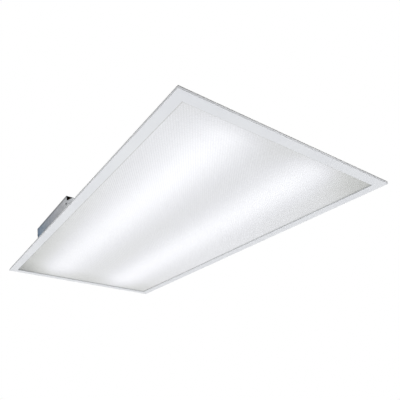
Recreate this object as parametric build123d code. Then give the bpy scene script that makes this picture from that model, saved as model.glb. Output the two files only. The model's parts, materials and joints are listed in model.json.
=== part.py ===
from build123d import *
import os
from math import atan2, cos, hypot, sin

# Recessed troffer light for a 2 x 4 ft ceiling module, with a hinged lens door.
# Millimetres. X runs along the light, Y across it, Z up into the ceiling.
# The origin is the middle of the flat face that looks down into the room.
# A distance u is measured inward from the outer edge of the frame.

# ---- driving dimensions -------------------------------------------------------

length = 1213.0              # frame, outside
width = 603.0

# door frame and lens
border = 25.4                # flat face of the frame seen round the lens
door_sheet = 0.8
door_edge = 5.2              # height of the frame's turned-up outer edge
door_seam = 1.15             # open seam between that edge and the housing rim
edge_round = 0.6             # folded outer edge of the frame
inner_lip = 2.6              # height of the frame's turned-up inner edge, which carries the lens
lens_lap = 7.0               # how far the lens reaches out over the frame
lens_thick = 2.4
lens_edge_gap = 0.4          # between the lens and what holds its edge

# housing
sheet = 0.8
foot_inset = 25.0            # from the rim's outer edge to the upright foot
foot_rise = 15.0             # upright foot above the rim
housing_height = 76.8        # outside top above the room face
side_run = 40.0              # how far a long side leans in, foot to top
end_run = 43.5               # the same at the ends
hanger_hole_r = 3.5
hanger_from_end = 126.5
hanger_from_side = 101.5

# end plate tabs on the housing top
tab_count = 3
tab_pitch = 150.0
tab_width = 30.0
tab_length = 16.0
rivet_shank_r = 1.6
rivet_head_r = 3.0
rivet_head_h = 1.0

# light boards
row_offset = 132.0           # from the middle to each row
board_end_gap = 16.0         # from a row's end to the sloping end of the housing
board_width = 24.0
board_thick = 1.6
board_gap = 4.0              # between the two boards of a row
led_count = 36               # on each board
led_length = 3.5
led_width = 2.8
led_height = 0.8
led_end_margin = 8.0
board_screw_offset = 8.0     # beside the line of diodes
board_screw_end = 14.0       # from the board's end
screw_shank_r = 1.5
screw_head_r = 3.0
screw_head_h = 1.5
screw_tip = 1.5              # beyond the last sheet
hole_slack = 0.1             # radial, round a fixed screw or rivet

# wiring and driver compartment on the left side
compartment_near = 32.0      # x of its near end
compartment_length = 294.0
cover_sheet = 0.8
cover_inset = 15.0           # top of its outer face, from the frame's edge
cover_kink = 31.0            # height where the face leaves the foot
cover_hem = 3.0              # from the rim up to the cover's lower edge
cover_flange = 16.5          # lies on the housing top
cover_screw_from_end = 15.0
cover_screw_to_leaf = 4.0    # from the lid's hinge leaf to the next screw
cover_screw_count = 3        # past the lid
wire_opening_width = 18.0    # open corner of the near end plate
wire_opening_height = 15.0
face_screw_height = 54.0
face_screw_from_end = 5.0

# access lid
lid_from_near = 24.0
lid_length = 90.0
lid_lap = 4.0                # over the edge of the opening under it
lid_to_face = 2.0            # from the lid's outer edge to the cover's edge
conduit_r = 11.1             # knockout for a half inch connector
lid_screw_inset = 3.6
lid_screw_slack = 0.9
lid_screw_land = 1.2         # metal left between its hole and the opening
lid_screw_length = 6.0
lid_hinge_length = 60.0

# driver and leads
driver_to_flange = 1.4       # upper outer edge of its case, below the cover's flange
driver_depth = 16.0
driver_round = 1.5
driver_base = 1.0
driver_foot = 11.0           # base plate beyond each end of the case
driver_from_far = 6.0        # from the far end plate to the base plate
driver_up_slope = 21.5       # lower edge, from the bottom of the slope
lead_r = 1.1
lead_height = 5.0            # above the slope
splice_length = 22.0
splice_depth = 9.0
splice_gap = 3.0             # between one and the next
splice_up_slope = 22.5       # middle of the lowest one
splice_from_top = 15.2       # middle of the highest one, from the top of the slope
splice_to_driver = 33.0
ground_to_splice = 11.0
cable_r = 1.6
cable_slack = 0.05
cable_height = 10.0          # above the slope
cable_to_driver = 20.0       # from the driver to the cable's way in
cable_up_slope = 27.0
cable_dip = 14.0
cable_from_top = 3.2         # axis below the inside of the top
cable_turn = 51.0            # from the foot in to where it meets the top
cable_bend = 9.0
cable_top_bend = 15.0
connector_length = 10.0
connector_width = 8.0
connector_height = 5.0
clip_spacing = 100.0
clip_size = 8.0
clip_drop = 2.0              # body below the cable's axis
grommet_hole_r = 5.0
grommet_lip = 2.0
grommet_lip_thick = 1.5
ground_screw_x = 45.0        # from the near end plate
ground_head_r = 4.0
ground_head_h = 2.5

# door hinges, on the right
hinge_from_end = 156.5       # outer hinges, from the frame's ends
hinge_length = 30.0
hinge_middle = 12.0
hinge_gap = 0.2
knuckle_r = 1.9
pin_r = 1.0
pin_slack = 0.05
pin_head_r = 1.6
pin_head = 0.5
hinge_inset = 2.0            # axis from the frame's outer edge
hinge_axis_z = 3.6
leaf_thick = 1.0
leaf_clear = 0.3             # leaf edge to the other leaf's knuckle
leaf_length = 10.0
hinge_notch = 0.6

# catches, on the left
catch_from_end = 156.5       # outer catches, from the frame's ends
catch_width = 14.0
spring_sheet = 0.5
spring_gap = 0.3
spring_top = 19.0
spring_bottom = 8.5
blade_sheet = 0.8
blade_top = 17.0
bracket_foot = 8.0           # u of the bracket's outer edge

# small pieces in the door
key_arm = 45.0
key_width = 12.0
key_inset = 2.0
key_thick = 1.0
clip_sheet = 0.6
clip_width = 20.0
clip_foot = 9.0              # u of the clip's outer edge
clip_finger = 6.4            # over the lens
clip_from_end = 66.5         # first clip of a long side, from the frame's end
long_clip_count = 6
clip_from_side = 151.5       # first clip of a short side, from the frame's side
short_clip_count = 2
bumper_r = 3.0
bumper_u = 9.0
bumper_gap = 0.3
bumper_from_end = 356.5

# ceiling grid clips
grid_from_end = 206.5
grid_pivot_u = 14.0
grid_sheet = 1.2
grid_half = 5.0
grid_slot = 1.6              # between the rim and the clip's arm
grid_reach = 16.5
grid_screw_r = 2.0
grid_screw_slack = 0.08
grid_head_r = 3.5
grid_head_h = 2.0
grid_peen_r = 3.0
grid_peen_h = 1.0

# ---- sizes that follow --------------------------------------------------------

half_l = length / 2
half_w = width / 2
rim_bottom = door_edge + door_seam
rim_top = rim_bottom + sheet
foot_top = rim_top + foot_rise
foot_x = half_l - foot_inset
foot_y = half_w - foot_inset
slope_rise = housing_height - foot_top
slope_top_y = foot_y - side_run
slope_top_x = foot_x - end_run
side_angle = atan2(slope_rise, side_run)
end_angle = atan2(slope_rise, end_run)
pan_inside = housing_height - sheet
lens_u = border - lens_lap
lens_bottom = inner_lip
lens_top = lens_bottom + lens_thick
compartment_far = compartment_near + compartment_length
board_length = slope_top_x - board_end_gap - board_gap / 2
cover_top = housing_height + cover_sheet
cover_face_y = half_w - cover_inset
far = 4 * length             # reach of a cutting block


def block(x, y, z):
    # box between pairs of coordinates
    size = [abs(b - a) for a, b in (x, y, z)]
    middle = [(a + b) / 2 for a, b in (x, y, z)]
    return Pos(*middle) * Box(*size)


def rod_z(x, y, z, radius):
    return Pos(x, y, (z[0] + z[1]) / 2) * Cylinder(radius, z[1] - z[0])


def rod_x(x, radius):
    return Pos((x[0] + x[1]) / 2, 0, 0) * Rot(0, 90, 0) * Cylinder(radius, x[1] - x[0])


def along_x(points, x):
    # section of (y, z) points carried from x[0] to x[1]
    face = make_face(Polyline(*points, close=True))
    return Pos(x[0], 0, 0) * extrude(Plane.YZ * face, x[1] - x[0])


def along_y(points, reach):
    # section of (x, z) points carried from -reach to reach
    face = make_face(Polyline(*points, close=True))
    return extrude(Plane.XZ * face, reach, both=True)


def on_side(side, along, shape):
    # puts a shape, drawn with u along +Y from the frame's edge, on one side
    if side == "right":
        return Pos(along, -half_w, 0) * shape
    if side == "left":
        return Pos(along, half_w, 0) * Rot(0, 0, 180) * shape
    if side == "near":
        return Pos(-half_l, along, 0) * Rot(0, 0, -90) * shape
    return Pos(half_l, along, 0) * Rot(0, 0, 90) * shape


def spaced(start, end, count):
    # places evenly spaced from start to end
    return [start + (end - start) * index / (count - 1) for index in range(count)]


def group(shapes):
    return Compound(children=list(shapes))


# ---- housing ------------------------------------------------------------------

def pan_section(foot, run, angle, inset, bottom, top):
    # half-symmetric section of the pan, moved in by the thickness inset
    knee = foot_top - inset * (1 - sin(angle)) / cos(angle)
    run_in = (top - foot_top) * run / slope_rise + inset / sin(angle)
    half = [(foot - inset, bottom), (foot - inset, knee), (foot - run_in, top)]
    return half + [(-a, b) for a, b in reversed(half)]


def pan_block(inset, bottom, top):
    across = along_x(pan_section(foot_y, side_run, side_angle, inset, bottom, top), (-half_l, half_l))
    lengthwise = along_y(pan_section(foot_x, end_run, end_angle, inset, bottom, top), half_w)
    return across & lengthwise


def board_screw_spots():
    for side in (-1, 1):
        for half in (-1, 1):
            middle = half * (board_gap + board_length) / 2
            reach = board_length / 2 - board_screw_end
            for step in (-1, 0, 1):
                yield middle + step * reach, side * (row_offset + board_screw_offset)


def tab_spots(end):
    for index in range(tab_count):
        y = (index - (tab_count - 1) / 2) * tab_pitch
        yield end * (slope_top_x - tab_length / 2), y


def cover_flange_screw_spots():
    past_lid = conduit_x + lid_hinge_length / 2 + cover_screw_to_leaf
    spots = spaced(past_lid, compartment_far - cover_screw_from_end, cover_screw_count)
    return [(x, slope_top_y - cover_flange / 2) for x in [compartment_near + cover_screw_from_end] + spots]


def grid_spots():
    x = half_l - grid_from_end
    y = half_w - grid_pivot_u
    return {"near_left": (-x, y, 1), "far_left": (x, y, 1), "near_right": (-x, -y, -1), "far_right": (x, -y, -1)}


def housing():
    # one folded pan, parted where the end plates are fixed
    pan = pan_block(0, rim_bottom, housing_height)
    rim = block((-half_l, half_l), (-half_w, half_w), (rim_bottom, rim_top))
    shell = (pan + rim) - pan_block(sheet, rim_bottom - 1, pan_inside)
    lift = 2 * sheet
    middle = pan_section(foot_x, end_run, end_angle, sheet, rim_bottom - 1, housing_height + lift)
    body = shell & along_y(middle, half_w + 1)
    ends = shell - along_y(middle, half_w + 1)

    through = (pan_inside - 1, housing_height + 1)
    for x, y in board_screw_spots():
        body -= rod_z(x, y, through, screw_shank_r + hole_slack)
    for x, y in cover_flange_screw_spots():
        body -= rod_z(x, y, through, screw_shank_r + hole_slack)
    for end in (-1, 1):
        for x, y in tab_spots(end):
            body -= rod_z(x, y, through, rivet_shank_r + hole_slack)
        for side in (-1, 1):
            x = end * (half_l - hanger_from_end)
            y = side * (half_w - hanger_from_side)
            body -= rod_z(x, y, through, hanger_hole_r)
    for x, y, _ in grid_spots().values():
        body -= rod_z(x, y, (rim_bottom - 1, rim_top + 1), grid_screw_r + grid_screw_slack)
    body -= slope_rod(cable_x, cable_up_slope, (-2 * sheet, sheet), grommet_hole_r)
    body -= slope_rod(ground_x, splice_up_slope, (-2 * sheet, sheet), screw_shank_r + hole_slack)
    for x, s in driver_screw_spots():
        body -= slope_rod(x, s, (-2 * sheet, sheet), screw_shank_r + hole_slack)
    return body, ends


def end_plate(ends, end):
    half_space = block((0, end * far), (-far, far), (-far, far))
    plate = ends & half_space
    for x, y in tab_spots(end):
        outer = end * slope_top_x
        inner = end * (slope_top_x - tab_length)
        tab = block((outer, inner), (y - tab_width / 2, y + tab_width / 2), (housing_height, cover_top))
        plate += tab - rod_z(x, y, (pan_inside, cover_top + 1), rivet_shank_r + hole_slack)
    return plate


def tab_rivets():
    for end in (-1, 1):
        for x, y in tab_spots(end):
            head = rod_z(x, y, (cover_top, cover_top + rivet_head_h), rivet_head_r)
            shank = rod_z(x, y, (pan_inside - rivet_head_h, cover_top + rivet_head_h), rivet_shank_r)
            tail = rod_z(x, y, (pan_inside - rivet_head_h, pan_inside), rivet_head_r)
            yield head + shank + tail


# ---- light boards -------------------------------------------------------------

def board_middle(half):
    return half * (board_gap + board_length) / 2


def light_boards(side):
    y = side * row_offset
    low = pan_inside - board_thick
    for half in (-1, 1):
        x = board_middle(half)
        board = block((x - board_length / 2, x + board_length / 2),
                      (y - board_width / 2, y + board_width / 2), (low, pan_inside))
        for sx, sy in board_screw_spots():
            if sx * half > 0 and sy * side > 0:
                board -= rod_z(sx, sy, (low - 1, pan_inside + 1), screw_shank_r + hole_slack)
        yield board


def diodes(side):
    low = pan_inside - board_thick - led_height
    pitch = (board_length - 2 * led_end_margin) / (led_count - 1)
    for half in (-1, 1):
        start = board_middle(half) - board_length / 2 + led_end_margin
        for index in range(led_count):
            x = start + index * pitch
            y = side * row_offset
            yield block((x - led_length / 2, x + led_length / 2),
                        (y - led_width / 2, y + led_width / 2), (low, low + led_height))


def board_screws():
    under = pan_inside - board_thick
    for x, y in board_screw_spots():
        head = rod_z(x, y, (under - screw_head_h, under), screw_head_r)
        shank = rod_z(x, y, (under - screw_head_h, housing_height + screw_tip), screw_shank_r)
        yield head + shank


# ---- places on the left slope -------------------------------------------------
# x along the light, s up the slope from its foot, n square out of it

slope = Plane(origin=(0, foot_y, foot_top), x_dir=(1, 0, 0), z_dir=(0, sin(side_angle), cos(side_angle)))


def slope_block(x, s, n):
    return slope.location * block(x, (-s[0], -s[1]), n)


def slope_rod(x, s, n, radius):
    return slope.location * rod_z(x, -s, n, radius)


def slope_rod_x(x, s, n, radius):
    return slope.location * Pos(0, -s, n) * rod_x(x, radius)


def slope_point(x, s, n):
    y = foot_y - s * cos(side_angle) + n * sin(side_angle)
    z = foot_top + s * sin(side_angle) + n * cos(side_angle)
    return (x, y, z)


ground_x = compartment_near + ground_screw_x
splice_near = ground_x + ground_to_splice
splice_far = splice_near + splice_length
case_near = splice_far + splice_to_driver
cable_x = case_near - cable_to_driver
base_near = case_near - driver_foot
base_far = compartment_far - cover_sheet - driver_from_far
case_far = base_far - driver_foot      # the driver fills what the wiring leaves of the length
case_n = driver_base + driver_depth
case_top = (housing_height - driver_to_flange - foot_top - case_n * cos(side_angle)) / sin(side_angle)
case_s = (driver_up_slope, case_top)
splice_count = 3
splice_top = hypot(side_run, slope_rise) - splice_from_top
splice_pitch = (splice_top - splice_up_slope) / (splice_count - 1)
splice_width = splice_pitch - splice_gap


def driver_screw_spots():
    s = (case_s[0] + case_s[1]) / 2
    return [(base_near + driver_foot / 2, s), (base_far - driver_foot / 2, s)]


def driver_plate():
    plate = slope_block((base_near, base_far), case_s, (0, driver_base))
    for x, s in driver_screw_spots():
        plate -= slope_rod(x, s, (-1, driver_base + 1), screw_shank_r + hole_slack)
    return plate


def driver_case():
    case = slope_block((case_near, case_far), case_s, (driver_base, case_n))
    return fillet(case.edges().filter_by(Axis.X), driver_round)


def driver_screws():
    for x, s in driver_screw_spots():
        head = slope_rod(x, s, (driver_base, driver_base + screw_head_h), screw_head_r)
        shank = slope_rod(x, s, (-sheet - screw_tip, driver_base + screw_head_h), screw_shank_r)
        yield head + shank


def splice_connectors():
    for s in spaced(splice_up_slope, splice_top, splice_count):
        body = slope_block((splice_near, splice_far), (s - splice_width / 2, s + splice_width / 2),
                           (0, splice_depth))
        yield fillet(body.edges().filter_by(Axis.X), 1.0)


def supply_leads():
    # line and neutral, from the driver to their connectors
    for index in (1, 2):
        s = min(splice_up_slope + index * splice_pitch, case_s[1] - 2 * lead_r)
        yield slope_rod_x((splice_far, case_near), s, lead_height, lead_r)


def ground_lead():
    start = ground_x + ground_head_r
    return slope_rod_x((start, splice_near), splice_up_slope, ground_head_h / 2 + lead_r / 2, lead_r)


def ground_screw():
    head = slope_rod(ground_x, splice_up_slope, (0, ground_head_h), ground_head_r)
    shank = slope_rod(ground_x, splice_up_slope, (-sheet - screw_tip, ground_head_h), screw_shank_r)
    return head + shank


def grommet():
    hole = (-sheet, 0)
    low = (-sheet - grommet_lip_thick, -sheet)
    high = (0, grommet_lip_thick)
    lip_r = grommet_hole_r + grommet_lip
    body = slope_rod(cable_x, cable_up_slope, hole, grommet_hole_r)
    body += slope_rod(cable_x, cable_up_slope, low, lip_r)
    body += slope_rod(cable_x, cable_up_slope, high, lip_r)
    return body - slope_rod(cable_x, cable_up_slope, (low[0] - 1, high[1] + 1), cable_r + cable_slack)


cable_z = pan_inside - cable_from_top
row_edge = row_offset + board_width / 2


def feed_cable():
    # from the driver through the grommet and along the top to the left row
    points = [
        slope_point(case_near, cable_up_slope, cable_height),
        slope_point(cable_x, cable_up_slope, cable_height),
        slope_point(cable_x, cable_up_slope, -cable_dip),
        (cable_x, foot_y - cable_turn, cable_z),
        (cable_x, row_edge + connector_width, cable_z),
    ]
    path = FilletPolyline(*points, radius=[cable_bend, cable_bend, cable_top_bend])
    section = Plane(origin=points[0], z_dir=(-1, 0, 0)) * Circle(cable_r)
    return sweep(section, path=path)


def row_cable():
    # across the housing, from the left row to the right row
    reach = row_offset - board_width / 2 - connector_width
    return Pos(cable_x, 0, cable_z) * Rot(90, 0, 0) * Cylinder(cable_r, 2 * reach)


def row_connectors():
    x = (cable_x - connector_length / 2, cable_x + connector_length / 2)
    z = (pan_inside - connector_height, pan_inside)
    inner = row_offset - board_width / 2
    yield block(x, (row_edge, row_edge + connector_width), z)
    yield block(x, (inner - connector_width, inner), z)
    yield block(x, (-inner, -inner + connector_width), z)


def cable_clips():
    x = (cable_x - clip_size / 2, cable_x + clip_size / 2)
    z = (cable_z - clip_drop - cable_slack, pan_inside)
    hole = Pos(cable_x, 0, cable_z) * Rot(90, 0, 0) * Cylinder(cable_r + cable_slack, width)
    for side in (-1, 1):
        y = side * clip_spacing / 2
        yield block(x, (y - clip_size / 2, y + clip_size / 2), z) - hole


# ---- compartment cover, ends and lid ------------------------------------------

lean = (cover_face_y - foot_y - cover_sheet) / (cover_top - cover_kink)
lean_sheet = cover_sheet * hypot(1, lean)      # the face's thickness, level


def face_y(z, inset=0.0):
    # outer face of the cover above its kink; inset 1 is the inner face
    return foot_y + cover_sheet + (z - cover_kink) * lean - inset * lean_sheet


inner_kink = cover_kink + (lean_sheet - cover_sheet) / lean
inner_top_y = face_y(housing_height, 1)
opening_near = compartment_near + lid_from_near + lid_lap
opening_far = compartment_near + lid_from_near + lid_length - lid_lap
lid_outer_y = cover_face_y - lid_to_face
lid_screw_y = lid_outer_y - lid_screw_inset
lid_screw_hole = screw_shank_r + lid_screw_slack
opening_outer = lid_screw_y - lid_screw_hole - lid_screw_land
lid_axis_y = slope_top_y - 1.0
lid_axis_z = cover_top + knuckle_r + 0.1
lid_inner_y = lid_axis_y + knuckle_r + leaf_clear
opening_inner = lid_inner_y + lid_lap
conduit_x = (opening_near + opening_far) / 2
conduit_y = (opening_inner + opening_outer) / 2
lid_screw_x = conduit_x
flange_inner_y = slope_top_y - cover_flange


def cover():
    points = [
        (foot_y, rim_top + cover_hem),
        (foot_y + cover_sheet, rim_top + cover_hem),
        (foot_y + cover_sheet, cover_kink),
        (cover_face_y, cover_top),
        (flange_inner_y, cover_top),
        (flange_inner_y, housing_height),
        (inner_top_y, housing_height),
        (foot_y, inner_kink),
    ]
    body = along_x(points, (compartment_near, compartment_far))
    body -= block((opening_near, opening_far), (opening_inner, opening_outer),
                  (housing_height - 1, cover_top + 1))
    body -= rod_z(lid_screw_x, lid_screw_y, (housing_height - 1, cover_top + 1), lid_screw_hole)
    for x, y in cover_flange_screw_spots():
        body -= rod_z(x, y, (housing_height - 1, cover_top + 1), screw_shank_r + hole_slack)
    for x in face_screw_spots():
        body -= face_screw_rod(x, (-2 * cover_sheet, cover_sheet), screw_shank_r + hole_slack)
    return body


def face_screw_spots():
    return [compartment_near + face_screw_from_end, compartment_far - face_screw_from_end]


def face_screw_rod(x, n, radius):
    # square to the cover's leaning face
    out = Plane(origin=(x, face_y(face_screw_height), face_screw_height),
                x_dir=(1, 0, 0), z_dir=(0, 1, -lean))
    return out.location * rod_z(0, 0, n, radius)


def cover_screws():
    for x, y in cover_flange_screw_spots():
        head = rod_z(x, y, (cover_top, cover_top + screw_head_h), screw_head_r)
        shank = rod_z(x, y, (pan_inside - screw_tip, cover_top + screw_head_h), screw_shank_r)
        yield head + shank
    for x in face_screw_spots():
        head = face_screw_rod(x, (0, screw_head_h), screw_head_r - 0.6)
        yield head + face_screw_rod(x, (-cover_sheet - 2 * screw_tip, screw_head_h), screw_shank_r)


def compartment_end(x0, open_corner):
    points = [(foot_y, foot_top), (slope_top_y, housing_height),
              (inner_top_y, housing_height), (foot_y, inner_kink)]
    plate = along_x(points, (x0, x0 + cover_sheet))
    if open_corner:
        low = housing_height - wire_opening_height
        corner = [(inner_top_y + 1, housing_height + 1), (inner_top_y - wire_opening_width, housing_height + 1),
                  (inner_top_y - wire_opening_width, housing_height), (face_y(low, 1), low),
                  (inner_top_y + 1, low)]
        plate -= along_x(corner, (x0 - 1, x0 + cover_sheet + 1))
    return plate


def barrel_bore(total):
    return rod_x((-total, total), pin_r + pin_slack)


def lid():
    # hinged plate with the conduit knockout and its rolled middle knuckle
    near = compartment_near + lid_from_near
    plate = block((near, near + lid_length), (lid_inner_y, lid_outer_y), (cover_top, cover_top + cover_sheet))
    plate -= rod_z(conduit_x, conduit_y, (cover_top - 1, cover_top + 2), conduit_r)
    plate -= rod_z(lid_screw_x, lid_screw_y, (cover_top - 1, cover_top + 2), screw_shank_r)
    reach = lid_hinge_length / 2 - hinge_middle - hinge_gap
    roll = rod_x((-reach, reach), knuckle_r)
    neck = block((-reach, reach), (0, knuckle_r + leaf_clear), (cover_top - lid_axis_z, -pin_r - 2 * pin_slack))
    roll = roll + neck - barrel_bore(lid_hinge_length)
    return plate + Pos(conduit_x, lid_axis_y, lid_axis_z) * roll


def lid_leaf():
    # fixed leaf on the cover's flange, with the two outer knuckles
    half = lid_hinge_length / 2
    low = cover_top - lid_axis_z
    start = -knuckle_r - leaf_clear
    leaf = block((-half, half), (start, start - leaf_length), (low, low + cover_sheet))
    for side in (-1, 1):
        span = sorted((side * (half - hinge_middle), side * half))
        leaf += rod_x(span, knuckle_r)
        leaf += block(span, (start, 0), (low, -pin_r - 2 * pin_slack))
    leaf -= barrel_bore(lid_hinge_length)
    return Pos(conduit_x, lid_axis_y, lid_axis_z) * leaf


def hinge_pin(total):
    half = total / 2
    pin = rod_x((-half - pin_head, half + pin_head), pin_r)
    for side in (-1, 1):
        pin += rod_x(sorted((side * half, side * (half + pin_head))), pin_head_r)
    return pin


def lid_screw():
    top = cover_top + cover_sheet
    head = rod_z(lid_screw_x, lid_screw_y, (top, top + screw_head_h), screw_head_r)
    return head + rod_z(lid_screw_x, lid_screw_y, (cover_top - lid_screw_length, top), screw_shank_r)


# ---- door ---------------------------------------------------------------------

hinge_y = -half_w + hinge_inset
hinge_spots = spaced(hinge_from_end - half_l, half_l - hinge_from_end, 3)
catch_spots = spaced(catch_from_end - half_l, half_l - catch_from_end, 3)


def frame_ring():
    ring = block((-half_l, half_l), (-half_w, half_w), (0, door_edge))
    ring = fillet(ring.faces().sort_by(Axis.Z)[0].edges(), edge_round)
    ring -= block((-half_l + door_sheet, half_l - door_sheet), (-half_w + door_sheet, half_w - door_sheet),
                  (door_sheet, door_edge + 1))
    lip = border - door_sheet
    ring += block((-half_l + lip, half_l - lip), (-half_w + lip, half_w - lip), (door_sheet, inner_lip))
    ring -= block((-half_l + border, half_l - border), (-half_w + border, half_w - border), (-1, inner_lip + 1))
    notch = hinge_length / 2 + pin_head + hinge_notch
    for x in hinge_spots:
        ring -= block((x - notch, x + notch), (-half_w - 1, -half_w + 2 * door_sheet), (door_sheet, door_edge + 1))
    return ring


def door_rails():
    # the frame is four rails, mitred at the corners
    ring = frame_ring()
    peak = half_l - half_w
    corners = {
        "near": [(-half_l, -half_w), (-half_l, half_w), (-peak, 0)],
        "far": [(half_l, half_w), (half_l, -half_w), (peak, 0)],
        "left": [(-half_l, half_w), (half_l, half_w), (peak, 0), (-peak, 0)],
        "right": [(half_l, -half_w), (-half_l, -half_w), (-peak, 0), (peak, 0)],
    }
    for name, points in corners.items():
        face = make_face(Polyline(*points, close=True))
        yield name, ring & extrude(Pos(0, 0, -1) * face, 2 * rim_bottom)


def corner_keys():
    a, b, c = key_inset, key_inset + key_width, key_inset + key_arm
    points = [(a, a), (c, a), (c, b), (b, b), (b, c), (a, c)]
    key = extrude(make_face(Polyline(*points, close=True)), key_thick)
    for turn, x, y in ((0, -half_l, -half_w), (90, half_l, -half_w), (180, half_l, half_w), (270, -half_l, half_w)):
        yield Pos(x, y, door_sheet) * Rot(0, 0, turn) * key


def lens():
    return block((-half_l + lens_u, half_l - lens_u), (-half_w + lens_u, half_w - lens_u), (lens_bottom, lens_top))


def lens_clip():
    outer = lens_u - lens_edge_gap
    half = clip_width / 2
    clip = block((-half, half), (clip_foot, outer), (door_sheet, door_sheet + clip_sheet))
    clip += block((-half, half), (outer - clip_sheet, outer), (door_sheet, lens_top + clip_sheet))
    clip += block((-half, half), (outer - clip_sheet, lens_u + clip_finger), (lens_top, lens_top + clip_sheet))
    return clip


def lens_clips():
    clip = lens_clip()
    along = half_l - clip_from_end
    across = half_w - clip_from_side
    for side in ("left", "right"):
        for spot in spaced(-along, along, long_clip_count):
            yield on_side(side, spot, clip)
    for side in ("near", "far"):
        for spot in spaced(-across, across, short_clip_count):
            yield on_side(side, spot, clip)


def bumpers():
    bumper = rod_z(0, bumper_u, (door_sheet, rim_bottom - bumper_gap), bumper_r)
    along = half_l - bumper_from_end
    for side in ("left", "right"):
        yield on_side(side, along, bumper)
        yield on_side(side, -along, bumper)
    yield on_side("near", 0, bumper)
    yield on_side("far", 0, bumper)


def door_hinge_leaf():
    half = hinge_length / 2
    middle = hinge_middle / 2
    low = door_sheet - hinge_axis_z
    start = knuckle_r + leaf_clear
    leaf = rod_x((-middle, middle), knuckle_r)
    leaf += block((-middle, middle), (0, start), (low, -pin_r - 2 * pin_slack))
    leaf += block((-half, half), (start, start + leaf_length), (low, low + leaf_thick))
    return leaf - barrel_bore(hinge_length)


def rim_hinge_leaf():
    half = hinge_length / 2
    inner = hinge_middle / 2 + hinge_gap
    high = rim_bottom - hinge_axis_z
    start = knuckle_r + leaf_clear
    leaf = block((-half, half), (start, start + leaf_length), (high - leaf_thick, high))
    for side in (-1, 1):
        span = sorted((side * inner, side * half))
        leaf += rod_x(span, knuckle_r)
        leaf += block(span, (0, start), (pin_r + 2 * pin_slack, high))
    return leaf - barrel_bore(hinge_length)


def at_hinges(shape):
    return group(Pos(x, hinge_y, hinge_axis_z) * shape for x in hinge_spots)


wall_u = foot_inset + sheet
blade_u = wall_u + spring_sheet + spring_gap


def catch_spring():
    # folded clip on the inside of the foot; the door's blade slides up into it
    half = catch_width / 2
    outer = blade_u + blade_sheet + spring_gap
    clip = block((-half, half), (wall_u, wall_u + spring_sheet), (spring_bottom, spring_top))
    clip += block((-half, half), (outer, outer + spring_sheet), (spring_bottom, spring_top))
    clip += block((-half, half), (wall_u, outer + spring_sheet), (spring_top - spring_sheet, spring_top))
    return clip


def catch_blade():
    # bracket from the frame, over the lens, up into the spring
    half = catch_width / 2
    riser = lens_u - lens_edge_gap
    shelf = lens_top + blade_sheet
    blade = block((-half, half), (bracket_foot, riser), (door_sheet, door_sheet + blade_sheet))
    blade += block((-half, half), (riser - blade_sheet, riser), (door_sheet, shelf))
    blade += block((-half, half), (riser - blade_sheet, blade_u + blade_sheet), (lens_top, shelf))
    blade += block((-half, half), (blade_u, blade_u + blade_sheet), (lens_top, blade_top))
    return blade


# ---- ceiling grid clips -------------------------------------------------------

def grid_clip():
    # stowed along the light; a quarter turn swings its arm out over the grid
    high = grid_slot + grid_sheet
    clip = block((-grid_half, grid_half), (-grid_half, grid_half), (0, grid_sheet))
    clip += block((grid_half - grid_sheet, grid_half), (-grid_half, grid_half), (0, high))
    clip += block((grid_half - grid_sheet, grid_reach), (-grid_half, grid_half), (grid_slot, high))
    return clip - rod_z(0, 0, (-1, high + 1), grid_screw_r)


def grid_screw():
    screw = rod_z(0, 0, (-sheet - grid_head_h, -sheet), grid_head_r)
    screw += rod_z(0, 0, (-sheet - grid_head_h, grid_sheet + grid_peen_h), grid_screw_r)
    screw += rod_z(0, 0, (grid_sheet, grid_sheet + grid_peen_h), grid_peen_r)
    return screw


def on_rim(place, shape):
    x, y, facing = grid_spots()[place]
    return Pos(x, y, rim_top) * Rot(0, 0, 0 if facing > 0 else 180) * shape


# ---- write each piece ---------------------------------------------------------

def pieces():
    body, ends = housing()
    yield "housing_body", body
    yield "end_plate_near", end_plate(ends, -1)
    yield "end_plate_far", end_plate(ends, 1)
    yield "end_plate_rivets", group(tab_rivets())
    for name, side in (("left", 1), ("right", -1)):
        yield "light_boards_" + name, group(light_boards(side))
        yield "diodes_" + name, group(diodes(side))
    yield "board_screws", group(board_screws())
    yield "row_connectors", group(row_connectors())
    yield "row_cable", row_cable()
    yield "cable_clips", group(cable_clips())
    yield "feed_cable", feed_cable()
    yield "cable_grommet", grommet()
    yield "driver_case", driver_case()
    yield "driver_plate", driver_plate()
    yield "driver_screws", group(driver_screws())
    yield "splice_connectors", group(splice_connectors())
    line, neutral = supply_leads()
    yield "line_lead", line
    yield "neutral_lead", neutral
    yield "ground_lead", ground_lead()
    yield "ground_screw", ground_screw()
    yield "compartment_cover", cover()
    yield "compartment_end_near", compartment_end(compartment_near, True)
    yield "compartment_end_far", compartment_end(compartment_far - cover_sheet, False)
    yield "cover_screws", group(cover_screws())
    yield "lid_hinge_leaf", lid_leaf()
    yield "lid_hinge_pin", Pos(conduit_x, lid_axis_y, lid_axis_z) * hinge_pin(lid_hinge_length)
    yield "access_lid", lid()
    yield "lid_screw", lid_screw()
    yield "rim_hinge_leaves", at_hinges(rim_hinge_leaf())
    yield "door_hinge_pins", at_hinges(hinge_pin(hinge_length))
    yield "catch_springs", group(on_side("left", x, catch_spring()) for x in catch_spots)
    for name, rail in door_rails():
        yield "door_rail_" + name, rail
    yield "corner_keys", group(corner_keys())
    yield "lens", lens()
    yield "lens_clips", group(lens_clips())
    yield "door_bumpers", group(bumpers())
    yield "door_hinge_leaves", at_hinges(door_hinge_leaf())
    yield "catch_blades", group(on_side("left", x, catch_blade()) for x in catch_spots)
    for place in grid_spots():
        yield "grid_clip_" + place, on_rim(place, grid_clip())
        yield "grid_screw_" + place, on_rim(place, grid_screw())


os.makedirs("parts", exist_ok=True)
for name, shape in pieces():
    export_step(shape, "parts/" + name + ".step")

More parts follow.
